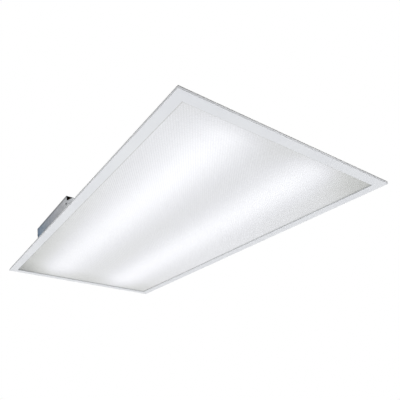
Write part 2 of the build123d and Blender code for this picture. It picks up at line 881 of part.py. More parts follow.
route = feed_cable()
print("feed cable volume", round(route.volume, 1))
print("door hinge axis", hinge_y, hinge_axis_z, " lid hinge axis", lid_axis_y, round(lid_axis_z, 3))
print("conduit", conduit_x, round(conduit_y, 3), "cover top", cover_top, "rim", rim_bottom, rim_top)
print("grid pivots", {k: v[:2] for k, v in grid_spots().items()})
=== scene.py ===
import json
import math
import bpy
import bmesh
from mathutils import Matrix, Vector


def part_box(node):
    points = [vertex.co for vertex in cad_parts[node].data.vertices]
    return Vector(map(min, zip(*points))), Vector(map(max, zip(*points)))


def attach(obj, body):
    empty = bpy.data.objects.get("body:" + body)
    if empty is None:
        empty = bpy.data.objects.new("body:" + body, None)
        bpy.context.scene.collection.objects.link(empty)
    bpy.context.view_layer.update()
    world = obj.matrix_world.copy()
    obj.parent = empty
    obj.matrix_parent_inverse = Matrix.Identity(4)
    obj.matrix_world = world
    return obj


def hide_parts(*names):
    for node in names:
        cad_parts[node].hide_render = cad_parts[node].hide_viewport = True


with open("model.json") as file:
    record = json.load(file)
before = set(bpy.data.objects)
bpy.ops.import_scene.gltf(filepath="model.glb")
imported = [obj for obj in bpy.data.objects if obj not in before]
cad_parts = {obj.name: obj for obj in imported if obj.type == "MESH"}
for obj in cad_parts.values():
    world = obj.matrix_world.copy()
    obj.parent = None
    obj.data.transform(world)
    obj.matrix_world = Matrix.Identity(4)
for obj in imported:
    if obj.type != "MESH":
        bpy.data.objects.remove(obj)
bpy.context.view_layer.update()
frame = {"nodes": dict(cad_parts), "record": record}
nodes = frame["nodes"]
scene = bpy.context.scene
scene.view_settings.view_transform = "Standard"
mm = 0.001
print("frame loaded:", len(nodes), "CAD nodes")

camera = {                   # below the near end, looking up along the light
    "place": (-1.0781, 0.5974, -0.5107),
    "yaw": -0.5699,          # radians, from +X towards -Y
    "pitch": 0.48235,        # upwards
    "roll": 0.0088,
    "focal": 421.6,          # in pixels of a picture this wide
    "picture": 400,
    "sensor": 36,            # millimetres
    "shift": 0.05,           # the photo is cropped a little off its axis
    "sees": (0.01, 60),      # nearest and farthest, in metres
}


def placeCamera(c):
    level = math.cos(c["pitch"])
    forward = Vector((level * math.cos(c["yaw"]), level * math.sin(c["yaw"]), math.sin(c["pitch"])))
    right = Vector((math.sin(c["yaw"]), -math.cos(c["yaw"]), 0))
    up = right.cross(forward)
    cosRoll, sinRoll = math.cos(c["roll"]), math.sin(c["roll"])
    right, up = right * cosRoll + up * sinRoll, up * cosRoll - right * sinRoll
    data = bpy.data.cameras.new("photoCamera")
    data.sensor_width = c["sensor"]
    data.lens = c["focal"] * c["sensor"] / c["picture"]
    data.shift_x = c["shift"]
    data.clip_start, data.clip_end = c["sees"]
    obj = bpy.data.objects.new("photoCamera", data)
    scene.collection.objects.link(obj)
    obj.matrix_world = Matrix.Translation(c["place"]) @ Matrix((right, up, -forward)).transposed().to_4x4()
    scene.camera = obj


placeCamera(camera)
print("camera placed")


def linear(hexColour):
    # sRGB hex to linear RGBA
    parts = [int(hexColour[i:i + 2], 16) / 255 for i in (1, 3, 5)]
    return tuple(p / 12.92 if p <= 0.04045 else ((p + 0.055) / 1.055) ** 2.4 for p in parts) + (1.0,)


def addNode(tree, kind, inputs=None, stops=(), **settings):
    # inputs go by socket name or number: a node or an output is linked, anything else is set;
    # stops are a ramp's places and colours
    node = tree.nodes.new("ShaderNode" + kind)
    for key, value in settings.items():
        setattr(node, key, value)
    for key, value in (inputs or {}).items():
        if isinstance(value, bpy.types.Node):
            value = value.outputs[0]
        if isinstance(value, bpy.types.NodeSocket):
            tree.links.new(value, node.inputs[key])
        else:
            node.inputs[key].default_value = value
    for index, (position, colour) in enumerate(stops):
        elements = node.color_ramp.elements
        stop = elements[index] if index < len(elements) else elements.new(position)
        stop.position, stop.color = position, linear(colour)
    return node


def newMaterial(name):
    material = bpy.data.materials.new(name)
    material.use_nodes = True
    material.node_tree.nodes.clear()
    return material, material.node_tree


studio = {                   # white world, pale floor, soft lamps below and above
    "worldLevel": 0.28,      # what the world gives the object; camera and reflections see plain white
    "floorHeight": -2.9,
    "floorSize": 14.0,
    "floorColour": "#f0f0ee",
    "floorWhiten": 0.75,     # share of plain white that camera and reflections see in the floor
    "lamps": [               # name, place, size in metres, watts
        ("underKey", (-0.8, 0.1, -2.3), 2.0, 30),
        ("underFill", (1.2, 0.4, -2.3), 2.0, 19),
        ("topKey", (-1.5, -1.8, 2.6), 2.6, 70),
        ("topFill", (2.0, 2.2, 2.2), 3.0, 36),
    ],
}


def seenRays(tree):
    # 1 for what the camera sees, also in metal and through glass
    path = addNode(tree, "LightPath")
    seen = addNode(tree, "Math", {0: path.outputs["Is Camera Ray"], 1: path.outputs["Is Glossy Ray"]},
                   operation="MAXIMUM")
    return addNode(tree, "Math", {0: seen, 1: path.outputs["Is Transmission Ray"]}, operation="MAXIMUM")


def lightWorld(level):
    world = bpy.data.worlds.new("studioWorld")
    scene.world = world
    world.use_nodes = True
    tree = world.node_tree
    tree.nodes.clear()
    soft = addNode(tree, "Background", {"Color": (1, 1, 1, 1), "Strength": level})
    white = addNode(tree, "Background", {"Color": (1, 1, 1, 1), "Strength": 1.0})
    both = addNode(tree, "MixShader", {0: seenRays(tree), 1: soft, 2: white})
    addNode(tree, "OutputWorld", {"Surface": both})


def layFloor(s):
    bm = bmesh.new()
    bmesh.ops.create_grid(bm, x_segments=1, y_segments=1, size=s["floorSize"] / 2)
    bmesh.ops.translate(bm, verts=bm.verts, vec=(0, 0, s["floorHeight"]))
    mesh = bpy.data.meshes.new("floor")
    bm.to_mesh(mesh)
    bm.free()
    floor = bpy.data.objects.new("floor", mesh)
    scene.collection.objects.link(floor)
    material, tree = newMaterial("paintedStudioFloor")
    share = addNode(tree, "Math", {0: seenRays(tree), 1: s["floorWhiten"]}, operation="MULTIPLY")
    matt = addNode(tree, "BsdfDiffuse", {"Color": linear(s["floorColour"])})
    plain = addNode(tree, "Emission", {"Color": (1, 1, 1, 1), "Strength": 1.0})
    addNode(tree, "OutputMaterial", {"Surface": addNode(tree, "MixShader", {0: share, 1: matt, 2: plain})})
    mesh.materials.append(material)


def hangLamps(lamps):
    for name, place, size, watts in lamps:
        data = bpy.data.lights.new(name, "AREA")
        data.shape = "DISK"
        data.size = size
        data.energy = watts
        lamp = bpy.data.objects.new(name, data)
        scene.collection.objects.link(lamp)
        lamp.location = place
        lamp.rotation_euler = (-Vector(place)).to_track_quat("-Z", "Y").to_euler()
        lamp.visible_camera = False


lightWorld(studio["worldLevel"])
layFloor(studio)
hangLamps(studio["lamps"])
print("studio lit")

noiseSpan = (0.3, 0.7)       # nearly all of a noise lies between these

powderCoat = {               # colour of a thinner and a thicker film, and roughness
    "frame": ("#dbdde2", "#e0e2e6", 0.42),
    "housing": ("#e2e3e0", "#e8e8e5", 0.5),
    "driver": ("#dadcdc", "#e4e5e5", 0.38),
    "peel": 1.8 * mm,        # wavelength of the orange peel that baking leaves
    "peelRoughness": 0.4,    # how much its finer noise counts
    "peelDepth": 0.05 * mm,
    "peelStrength": 0.15,
    "cloud": 160 * mm,       # slow change of film thickness
    "glossSpread": (-0.05, 0.07),
    "ior": 1.5,
}


def powderCoatedSteel(name, thin, thick, roughness):
    # sprayed dry and baked: satin, very even, with a faintly pebbled skin
    c = powderCoat
    material, tree = newMaterial(name)
    place = addNode(tree, "TexCoord").outputs["Object"]
    cloud = addNode(tree, "TexNoise", {"Vector": place, "Scale": 1 / c["cloud"], "Detail": 2.0})
    tint = addNode(tree, "ValToRGB", {"Fac": cloud}, stops=zip(noiseSpan, (thin, thick)))
    gloss = addNode(tree, "MapRange", {"Value": cloud, "To Min": roughness + c["glossSpread"][0],
                                       "To Max": roughness + c["glossSpread"][1]})
    peel = addNode(tree, "TexNoise", {"Vector": place, "Scale": 1 / c["peel"], "Detail": 2.0,
                                      "Roughness": c["peelRoughness"]})
    bump = addNode(tree, "Bump", {"Height": peel, "Strength": c["peelStrength"],
                                  "Distance": c["peelDepth"]})
    shader = addNode(tree, "BsdfPrincipled", {"Base Color": tint, "Roughness": gloss, "Normal": bump,
                                              "IOR": c["ior"]})
    addNode(tree, "OutputMaterial", {"Surface": shader})
    return material


powderCoatedFrame = powderCoatedSteel("powderCoatedFrame", *powderCoat["frame"])
powderCoatedHousing = powderCoatedSteel("powderCoatedHousing", *powderCoat["housing"])
powderCoatedDriver = powderCoatedSteel("powderCoatedDriver", *powderCoat["driver"])

galvanised = {
    "plain": "#a3a5a8",
    "crystal": (0.87, 1.10),  # darkest and brightest crystal, as shares of the zinc's own grey
    "spangle": 9 * mm,       # width of one zinc crystal
    "wander": 6 * mm,        # how far the crystals' edges stray from straight
    "wanderSpan": 18 * mm,   # over what length they do
    "frost": 1.2 * mm,       # frosting inside a crystal
    "frostDepth": 0.05 * mm,
    "frostStrength": 0.25,
    "toneShares": (0.7, 0.3),  # of a crystal's tone, from the way it faces and from its frosting
    "gloss": (0.34, 0.52),
    "metal": 0.85,
    "cover": [               # painted reflection and shade: the cover is painted bluer and darker towards its far end, darkest at its far edge
        (30 * mm, "#999b9e"), (110 * mm, "#8d8f94"), (200 * mm, "#787e88"),
        (280 * mm, "#5f7182"), (312 * mm, "#46637e"), (326 * mm, "#2c4257"),
    ],
    "paintedFoldShade": (69.0 * mm, 73.5 * mm, 0.56),  # painted shade below the fold: where it starts and ends, and the share of light it takes
    "foldTop": (76.9 * mm, 77.4 * mm),         # above the fold the top keeps the plain grey, without the painted reflection and shade
}


def paintedReflectionTint(tree, place):
    # painted reflection and shade on the cover's grey: bluer and darker along its face towards the far end,
    # painted shade below the fold, plain on its top
    g = galvanised
    axes = addNode(tree, "SeparateXYZ", {0: place})
    face = addNode(tree, "ValToRGB", {"Fac": axes.outputs["X"]}, stops=g["cover"])
    start, end, lost = g["paintedFoldShade"]
    fold = addNode(tree, "MapRange", {"Value": axes.outputs["Z"], "From Min": start, "From Max": end,
                                      "To Min": 1.0, "To Max": 1.0 - lost}, interpolation_type="SMOOTHSTEP")
    face = addNode(tree, "VectorMath", {0: face, "Scale": fold}, operation="SCALE")
    top = addNode(tree, "MapRange", {"Value": axes.outputs["Z"], "From Min": g["foldTop"][0],
                                     "From Max": g["foldTop"][1]})
    return addNode(tree, "MixRGB", {"Fac": top, "Color1": face, "Color2": linear(g["plain"])})


def hotDipGalvanisedSteel(name, withPaintedReflection=False):
    # zinc frozen on the sheet: flat crystals, each turned its own way, dull and faintly mottled
    g = galvanised
    material, tree = newMaterial(name)
    place = addNode(tree, "TexCoord").outputs["Object"]
    wander = addNode(tree, "TexNoise", {"Vector": place, "Scale": 1 / g["wanderSpan"], "Detail": 2.0})
    stray = addNode(tree, "VectorMath", {0: wander.outputs["Color"], "Scale": g["wander"]},
                    operation="SCALE")
    spot = addNode(tree, "VectorMath", {0: place, 1: stray}, operation="ADD")
    crystal = addNode(tree, "TexVoronoi", {"Vector": spot, "Scale": 1 / g["spangle"], "Randomness": 1.0})
    facing = addNode(tree, "SeparateColor", {0: crystal.outputs["Color"]})
    frost = addNode(tree, "TexNoise", {"Vector": place, "Scale": 1 / g["frost"], "Detail": 4.0})
    facingShare, frostShare = g["toneShares"]
    frost = addNode(tree, "Math", {0: frost, 1: frostShare}, operation="MULTIPLY")
    tone = addNode(tree, "Math", {0: facing, 1: facingShare, 2: frost}, operation="MULTIPLY_ADD")
    level = addNode(tree, "MapRange", {"Value": tone, "To Min": g["crystal"][0], "To Max": g["crystal"][1]})
    grey = paintedReflectionTint(tree, place) if withPaintedReflection else linear(g["plain"])[:3]
    colour = addNode(tree, "VectorMath", {0: grey, "Scale": level}, operation="SCALE")
    gloss = addNode(tree, "MapRange", {"Value": facing.outputs[1], "To Min": g["gloss"][0],
                                       "To Max": g["gloss"][1]})
    bump = addNode(tree, "Bump", {"Height": tone, "Strength": g["frostStrength"],
                                  "Distance": g["frostDepth"]})
    shader = addNode(tree, "BsdfPrincipled", {"Base Color": colour, "Roughness": gloss, "Normal": bump,
                                              "Metallic": g["metal"]})
    addNode(tree, "OutputMaterial", {"Surface": shader})
    return material


galvanisedSheet = hotDipGalvanisedSteel("hotDipGalvanisedSheet")
# the cover's grey carries painted reflection and painted shade
galvanisedCover = hotDipGalvanisedSteel("galvanisedCoverPaintedReflection", withPaintedReflection=True)

zincPlate = {                # darker and lighter tone, roughness and width of the grain
    "bright": ("#a9acae", "#c9cbcc", 0.3, 0.5 * mm),
    "spring": ("#6f7276", "#8d9094", 0.36, 0.8 * mm),
    "clip": ("#999da0", "#bcbfc1", 0.34, 0.7 * mm),
    "black": ("#26282b", "#35383b", 0.4, 0.5 * mm),
    "green": ("#3c8350", "#4f9a60", 0.36, 0.5 * mm),
    "glossSpread": (-0.06, 0.1),
    "grainDepth": 0.02 * mm,
    "grainStrength": 0.2,
}


def zincPlatedSteel(name, dark, light, roughness, grain):
    # electroplated over pressed or turned steel: clean and bright, with a fine uneven grain
    z = zincPlate
    material, tree = newMaterial(name)
    place = addNode(tree, "TexCoord").outputs["Object"]
    noise = addNode(tree, "TexNoise", {"Vector": place, "Scale": 1 / grain, "Detail": 3.0})
    colour = addNode(tree, "ValToRGB", {"Fac": noise}, stops=zip(noiseSpan, (dark, light)))
    gloss = addNode(tree, "MapRange", {"Value": noise, "To Min": roughness + z["glossSpread"][0],
                                       "To Max": roughness + z["glossSpread"][1]})
    bump = addNode(tree, "Bump", {"Height": noise, "Strength": z["grainStrength"],
                                  "Distance": z["grainDepth"]})
    shader = addNode(tree, "BsdfPrincipled", {"Base Color": colour, "Roughness": gloss, "Normal": bump,
                                              "Metallic": 1.0})
    addNode(tree, "OutputMaterial", {"Surface": shader})
    return material


brightZinc = zincPlatedSteel("brightZincPlatedSteel", *zincPlate["bright"])
springSteel = zincPlatedSteel("rolledSpringSteel", *zincPlate["spring"])
clipZinc = zincPlatedSteel("stampedZincPlatedClip", *zincPlate["clip"])
# a near-black grey given to the cover's screws
darkCoverScrewMetal = zincPlatedSteel("darkCoverScrewSteel", *zincPlate["black"])
greenZinc = zincPlatedSteel("greenPassivatedZinc", *zincPlate["green"])

moulding = {                 # darker and lighter tone, roughness, IOR and width of the texture
    "nylon": ("#e2e1db", "#ecebe6", 0.45, 1.53, 0.6 * mm),
    "package": ("#e9e8e1", "#f1f0ea", 0.4, 1.53, 0.6 * mm),
    "whiteVinyl": ("#dad9d4", "#e6e6e2", 0.4, 1.53, 0.6 * mm),
    "blackVinyl": ("#1b1c1d", "#232425", 0.38, 1.53, 0.6 * mm),
    "greenVinyl": ("#28693a", "#2f7a43", 0.38, 1.53, 0.6 * mm),
    "polycarbonate": ("#c87628", "#d98538", 0.28, 1.58, 0.6 * mm),
    "rubber": ("#202020", "#2a2a2a", 0.7, 1.52, 0.4 * mm),
    "foam": ("#2e2e2e", "#3a3a3a", 0.85, 1.5, 0.3 * mm),
    "haze": 14 * mm,         # width of the slow change of tone
    "glossSpread": (-0.06, 0.08),
    "textureDepth": 0.03 * mm,
    "textureStrength": 0.25,
}


def mouldedPlastic(name, shade, colour, roughness, ior, grain):
    # injected into an eroded steel mould, or pressed through a die: even colour, slight haze, fine texture
    m = moulding
    material, tree = newMaterial(name)
    place = addNode(tree, "TexCoord").outputs["Object"]
    haze = addNode(tree, "TexNoise", {"Vector": place, "Scale": 1 / m["haze"], "Detail": 1.0})
    tint = addNode(tree, "ValToRGB", {"Fac": haze}, stops=zip(noiseSpan, (shade, colour)))
    noise = addNode(tree, "TexNoise", {"Vector": place, "Scale": 1 / grain, "Detail": 3.0})
    gloss = addNode(tree, "MapRange", {"Value": noise, "To Min": roughness + m["glossSpread"][0],
                                       "To Max": roughness + m["glossSpread"][1]})
    bump = addNode(tree, "Bump", {"Height": noise, "Strength": m["textureStrength"],
                                  "Distance": m["textureDepth"]})
    shader = addNode(tree, "BsdfPrincipled", {"Base Color": tint, "Roughness": gloss, "Normal": bump,
                                              "IOR": ior})
    addNode(tree, "OutputMaterial", {"Surface": shader})
    return material


whiteNylon = mouldedPlastic("mouldedWhiteNylon", *moulding["nylon"])
packageWhite = mouldedPlastic("mouldedDiodePackage", *moulding["package"])
whiteSheath = mouldedPlastic("extrudedWhiteVinyl", *moulding["whiteVinyl"])
blackSheath = mouldedPlastic("extrudedBlackVinyl", *moulding["blackVinyl"])
greenSheath = mouldedPlastic("extrudedGreenVinyl", *moulding["greenVinyl"])
splicePlastic = mouldedPlastic("mouldedOrangePolycarbonate", *moulding["polycarbonate"])
blackRubber = mouldedPlastic("mouldedBlackRubber", *moulding["rubber"])
foamRubber = mouldedPlastic("dieCutFoamRubber", *moulding["foam"])

board = {
    "mask": "#eff0ea",
    "track": "#dcdcd2",      # copper just showing through the white mask
    "trackEdge": (0.06, 0.14),  # of the pitch's wave, where track turns to plain mask
    "trackPitch": 6.0 * mm,
    "trackHeight": 0.04 * mm,
    "trackStrength": 0.3,
    "cloud": 20 * mm,        # how far apart duller and glossier patches lie
    "gloss": (0.42, 0.56),
    "ior": 1.5,
}


def solderMaskedBoard(name):
    # white mask screened over etched copper: chalky, with faint raised tracks
    material, tree = newMaterial(name)
    place = addNode(tree, "TexCoord").outputs["Object"]
    waves = math.tau / 20 / board["trackPitch"]  # the wave node runs through 20 radians in a unit
    track = addNode(tree, "TexWave", {"Vector": place, "Scale": waves}, bands_direction="Y").outputs["Fac"]
    edge = addNode(tree, "ValToRGB", {"Fac": track},
                   stops=zip(board["trackEdge"], (board["track"], board["mask"])))
    cloud = addNode(tree, "TexNoise", {"Vector": place, "Scale": 1 / board["cloud"], "Detail": 2.0})
    gloss = addNode(tree, "MapRange", {"Value": cloud, "To Min": board["gloss"][0],
                                       "To Max": board["gloss"][1]})
    bump = addNode(tree, "Bump", {"Height": track, "Strength": board["trackStrength"],
                                  "Distance": board["trackHeight"]})
    shader = addNode(tree, "BsdfPrincipled", {"Base Color": edge, "Roughness": gloss, "Normal": bump,
                                              "IOR": board["ior"]})
    addNode(tree, "OutputMaterial", {"Surface": shader})
    return material


phosphor = {
    "tones": ("#f4e9b0", "#fff6d2"),
    "grain": 0.8 * mm,
    "gloss": 0.25,
    "ior": 1.41,             # silicone
    "glow": 2.6,
    "glowColour": "#fffbee",
}


def litPhosphor(name):
    # yellow phosphor in silicone gel, lit: a glossy warm white dot
    material, tree = newMaterial(name)
    place = addNode(tree, "TexCoord").outputs["Object"]
    noise = addNode(tree, "TexNoise", {"Vector": place, "Scale": 1 / phosphor["grain"], "Detail": 2.0})
    tint = addNode(tree, "ValToRGB", {"Fac": noise}, stops=zip(noiseSpan, phosphor["tones"]))
    shader = addNode(tree, "BsdfPrincipled", {"Base Color": tint, "Roughness": phosphor["gloss"],
                                              "IOR": phosphor["ior"],
                                              "Emission Color": linear(phosphor["glowColour"]),
                                              "Emission Strength": phosphor["glow"]})
    addNode(tree, "OutputMaterial", {"Surface": shader})
    return material


maskedBoard = solderMaskedBoard("solderMaskedBoard")
phosphorGel = litPhosphor("pottedPhosphorGel")
print("metals and plastics mixed")

lens = {
    # the real pyramids are about 4.8 mm square, too fine for the picture; these diamonds are a size up,
    # and their rows lie 5.3 mm apart along the slope where the photo shows its stripes
    "alongPitch": 9.2 * mm,
    "acrossPitch": 6.5 * mm,
    "depth": 0.6 * mm,
    "margin": 1.2 * mm,      # plain edge inside the frame's lip
    "colour": "#85878a",     # only what the acrylic itself returns; the rest is painted glow
    "glowTints": [(0.12, "#fdfeed"), (0.5, "#fbfbff")],  # its colour where it glows less and more
    "haze": 2.5 * mm,        # width of the duller and glossier patches
    "gloss": (0.24, 0.34),
    "ior": 1.49,
    "prismShade": 0.13,      # share of its painted glow lost as painted shade in a valley between pyramids
    "reach": 600 * mm,       # length that the tilts and drifts below are counted over
    "base": 0.443,           # painted glow at the middle of the panel, and its change over the reach
    "baseTilt": -0.031,
    "bands": [               # middle, drift, half width and strength of each row's band of painted glow
        (148.7 * mm, 5.9 * mm, 73.9 * mm, 0.243),
        (-115.6 * mm, -12.0 * mm, 69.9 * mm, 0.226),
    ],
    "bandFar": (470 * mm, 703 * mm, 1.3),      # where the bands fade: from, to, share lost
    "bandNear": (-531 * mm, -600 * mm, 0.82),
    "leftSide": (59 * mm, 300 * mm),           # where painted shade dims the panel towards its sides and ends
    "rightSide": (-82 * mm, -300 * mm),
    "farEnd": (430 * mm, 560 * mm),
    "nearEnd": (-444 * mm, -600 * mm),
    "leftLoss": (0.066, 0.140, 0.020),         # in the middle, its change over the reach, more at both ends
    "rightLoss": (-0.050, -0.030, 0.124),
    "farLoss": (0.078, 0.040, -0.035),         # in the middle, more on the left, more on the right
    "nearLoss": (0.068, 0.000, 0.080),
    "lipZone": (1.6 * mm, 4.8 * mm),           # painted shade beside the frame's lip, which keeps light off
    "lipShare": {"near": 0.45, "far": 0.45, "left": 0.45, "right": 0.75},  # share of the painted glow left there
}


def paintedBandGlow(tree, place, along):
    # painted glow: a base level over the panel, and each row of diodes painted as a band that fades at its
    # ends
    c = lens
    x = addNode(tree, "SeparateXYZ", {0: place}).outputs["X"]
    (start, end, lost), (nearStart, nearEnd, nearLost) = c["bandFar"], c["bandNear"]
    kept = addNode(tree, "MapRange", {"Value": x, "From Min": start, "From Max": end, "To Min": 1.0,
                                      "To Max": 1.0 - lost}, interpolation_type="SMOOTHSTEP")
    near = addNode(tree, "MapRange", {"Value": x, "From Min": nearStart, "From Max": nearEnd,
                                      "To Max": nearLost}, interpolation_type="SMOOTHSTEP")
    kept = addNode(tree, "Math", {0: kept, 1: near}, operation="SUBTRACT")
    glow = addNode(tree, "Math", {0: along, 1: c["baseTilt"], 2: c["base"]}, operation="MULTIPLY_ADD")
    for middle, drift, width, strength in c["bands"]:
        slope = (-drift / c["reach"] / width, 1 / width, 0)
        away = addNode(tree, "VectorMath", {0: place, 1: slope}, operation="DOT_PRODUCT").outputs["Value"]
        away = addNode(tree, "Math", {0: away, 1: middle / width}, operation="SUBTRACT")
        away = addNode(tree, "Math", {0: away, 1: away}, operation="MULTIPLY")
        bell = addNode(tree, "Math", {0: 1 / math.e, 1: away}, operation="POWER")
        bell = addNode(tree, "Math", {0: bell, 1: kept}, operation="MULTIPLY")
        glow = addNode(tree, "Math", {0: bell, 1: strength, 2: glow}, operation="MULTIPLY_ADD")
    return glow


def paintedEdgeShade(tree, place, along, glow):
    # painted shade: dimmer towards the sides and the ends, where less of the rows' light arrives
    c = lens
    axes = addNode(tree, "SeparateXYZ", {0: place})
    left, right, far, near = [
        addNode(tree, "MapRange", {"Value": axes.outputs[axis], "From Min": c[zone][0],
                                   "From Max": c[zone][1]}, interpolation_type="SMOOTHSTEP")
        for axis, zone in (("Y", "leftSide"), ("Y", "rightSide"), ("X", "farEnd"), ("X", "nearEnd"))]
    bowed = addNode(tree, "Math", {0: along, 1: along}, operation="MULTIPLY")
    for zone, (middle, tilt, bow) in ((left, c["leftLoss"]), (right, c["rightLoss"])):
        loss = addNode(tree, "Math", {0: along, 1: tilt, 2: middle}, operation="MULTIPLY_ADD")
        loss = addNode(tree, "Math", {0: bowed, 1: bow, 2: loss}, operation="MULTIPLY_ADD")
        loss = addNode(tree, "Math", {0: zone, 1: loss}, operation="MULTIPLY")
        glow = addNode(tree, "Math", {0: glow, 1: loss}, operation="SUBTRACT")
    for zone, (middle, moreLeft, moreRight) in ((far, c["farLoss"]), (near, c["nearLoss"])):
        loss = addNode(tree, "Math", {0: left, 1: moreLeft, 2: middle}, operation="MULTIPLY_ADD")
        loss = addNode(tree, "Math", {0: right, 1: moreRight, 2: loss}, operation="MULTIPLY_ADD")
        loss = addNode(tree, "Math", {0: zone, 1: loss}, operation="MULTIPLY")
        glow = addNode(tree, "Math", {0: glow, 1: loss}, operation="SUBTRACT")
    return glow


def lipShade(tree, place):
    # painted shade: share of the painted glow left beside each rail's lip
    axes = addNode(tree, "SeparateXYZ", {0: place})
    start, end = lens["lipZone"]
    share = 1.0
    rails = [("near", "X", 1, 1), ("far", "X", 0, -1), ("left", "Y", 0, -1), ("right", "Y", 1, 1)]
    for rail, axis, corner, inward in rails:
        lip = getattr(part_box("door_rail_" + rail)[corner], axis.lower())
        side = addNode(tree, "MapRange", {"Value": axes.outputs[axis], "From Min": lip + inward * start,
                                          "From Max": lip + inward * end, "To Min": lens["lipShare"][rail]},
                       interpolation_type="SMOOTHSTEP")
        share = addNode(tree, "Math", {0: share, 1: side}, operation="MULTIPLY")
    return share


def prismShade(tree, place):
    # painted shade, darker in the valleys: a pyramid's height is the lower of two triangle waves, one along
    # each row
    waves = []
    for turn in (1, -1):
        rows = (1 / lens["alongPitch"], turn / lens["acrossPitch"], 0)
        cells = addNode(tree, "VectorMath", {0: place, 1: rows}, operation="DOT_PRODUCT").outputs["Value"]
        waves.append(addNode(tree, "Math", {0: cells, 1: 0.5}, operation="PINGPONG"))
    height = addNode(tree, "Math", {0: waves[0], 1: waves[1]}, operation="MINIMUM")
    depth = lens["prismShade"]    # the height averages a sixth, so the shade averages 1
    return addNode(tree, "Math", {0: height, 1: 2 * depth, 2: 1 - depth / 3}, operation="MULTIPLY_ADD")


def prismaticAcrylicPaintedGlow(name):
    # clear acrylic pressed into pyramids, with painted glow: the diodes behind are painted on as soft bands
    # of emission under a fine weave of painted shade
    c = lens
    material, tree = newMaterial(name)
    place = addNode(tree, "TexCoord").outputs["Object"]
    along = addNode(tree, "VectorMath", {0: place, 1: (1 / c["reach"], 0, 0)}, operation="DOT_PRODUCT")
    along = along.outputs["Value"]
    glow = paintedEdgeShade(tree, place, along, paintedBandGlow(tree, place, along))
    for shade in (lipShade(tree, place), prismShade(tree, place)):
        glow = addNode(tree, "Math", {0: glow, 1: shade}, operation="MULTIPLY")
    colour = addNode(tree, "ValToRGB", {"Fac": glow}, stops=c["glowTints"])
    haze = addNode(tree, "TexNoise", {"Vector": place, "Scale": 1 / c["haze"], "Detail": 2.0})
    gloss = addNode(tree, "MapRange", {"Value": haze, "To Min": c["gloss"][0], "To Max": c["gloss"][1]})
    shader = addNode(tree, "BsdfPrincipled", {"Base Color": linear(c["colour"]), "Roughness": gloss,
                                              "IOR": c["ior"], "Emission Color": colour,
                                              "Emission Strength": glow})
    addNode(tree, "OutputMaterial", {"Surface": shader})
    return material


def pieceFrom(bm, name, body, materials, hides):
    mesh = bpy.data.meshes.new(name)
    bm.to_mesh(mesh)
    bm.free()
    for material in materials:
        mesh.materials.append(material)
    obj = bpy.data.objects.new(name, mesh)
    scene.collection.objects.link(obj)
    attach(obj, body)
    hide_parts(hides)
    return obj


def block(bm, low, high):
    made = bmesh.ops.create_cube(bm, size=1)["verts"]
    low, high = Vector(low), Vector(high)
    bmesh.ops.scale(bm, verts=made, vec=high - low)
    bmesh.ops.translate(bm, verts=made, vec=(low + high) / 2)


def pressPyramids(bm, edgeX, edgeY, root, top):
    # a field of diamonds with sunk middles, trimmed to the opening and closed into a slab
    rows = 2 * math.ceil(edgeX / lens["alongPitch"] + edgeY / lens["acrossPitch"])
    bmesh.ops.create_grid(bm, x_segments=rows, y_segments=rows, size=rows / 2)
    tips = bmesh.ops.poke(bm, faces=bm.faces)["verts"]
    bmesh.ops.translate(bm, verts=tips, vec=(0, 0, -lens["depth"]))
    bmesh.ops.rotate(bm, verts=bm.verts, matrix=Matrix.Rotation(math.pi / 4, 3, "Z"))
    half = math.sqrt(0.5)    # of a unit square's diagonal
    bmesh.ops.scale(bm, verts=bm.verts, vec=(lens["alongPitch"] * half, lens["acrossPitch"] * half, 1))
    bmesh.ops.translate(bm, verts=bm.verts, vec=(0, 0, root))
    for outward in ((1, 0, 0), (-1, 0, 0), (0, 1, 0), (0, -1, 0)):
        side = (outward[0] * edgeX, outward[1] * edgeY, 0)
        bmesh.ops.bisect_plane(bm, geom=bm.verts[:] + bm.edges[:] + bm.faces[:], plane_co=side,
                               plane_no=outward, clear_outer=True)
    border = [e for e in bm.edges if e.is_boundary]
    raised = bmesh.ops.extrude_edge_only(bm, edges=border)["geom"]
    for vert in (v for v in raised if isinstance(v, bmesh.types.BMVert)):
        vert.co.z = top
    rim = [e for e in raised if isinstance(e, bmesh.types.BMEdge) and e.is_boundary]
    bmesh.ops.contextual_create(bm, geom=rim)
    bmesh.ops.recalc_face_normals(bm, faces=bm.faces)


def makeLens():
    low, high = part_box("lens")
    edgeX = -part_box("door_rail_near")[1].x - lens["margin"]
    edgeY = -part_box("door_rail_right")[1].y - lens["margin"]
    bm = bmesh.new()
    pressPyramids(bm, edgeX, edgeY, low.z + lens["depth"], high.z)
    block(bm, low, (-edgeX, high.y, high.z))
    block(bm, (edgeX, low.y, low.z), high)
    block(bm, (-edgeX, low.y, low.z), (edgeX, -edgeY, high.z))
    block(bm, (-edgeX, edgeY, low.z), (edgeX, high.y, high.z))
    # the lens glows with painted light, not with light from the diodes
    acrylic = prismaticAcrylicPaintedGlow("prismaticAcrylicWithPaintedGlow")
    pieceFrom(bm, "lensPanel", "lens_door", [acrylic], "lens")


makeLens()
print("lens pressed")

fastener = {                 # detail that the CAD heads leave out
    "leastSides": 20,        # a face with as many is a head's disc
    "proud": 0.05 * mm,      # what may stand in front of that disc
    "round": 0.45 * mm,      # radius round a pan head's rim
    "roundSteps": 3,
    "socket": 0.52,          # socket's radius, as a share of the flat left on the head
    "socketDepth": 0.65 * mm,
    "lobes": 6,
    "lobe": 0.17,            # how far the lobes stand out, as a share of the radius
    "rivetRound": 0.55 * mm,
    "rivetDimple": 0.4,      # dimple's radius, as a share of the flat
    "dimpleDepth": 0.3 * mm,
    "draft": 0.02 * mm,      # the socket narrows by this much
}


def islandOf(start):
    found, waiting = {start}, [start]
    while waiting:
        vert = waiting.pop()
        for other in (edge.other_vert(vert) for edge in vert.link_edges):
            if other not in found:
                found.add(other)
                waiting.append(other)
    return found


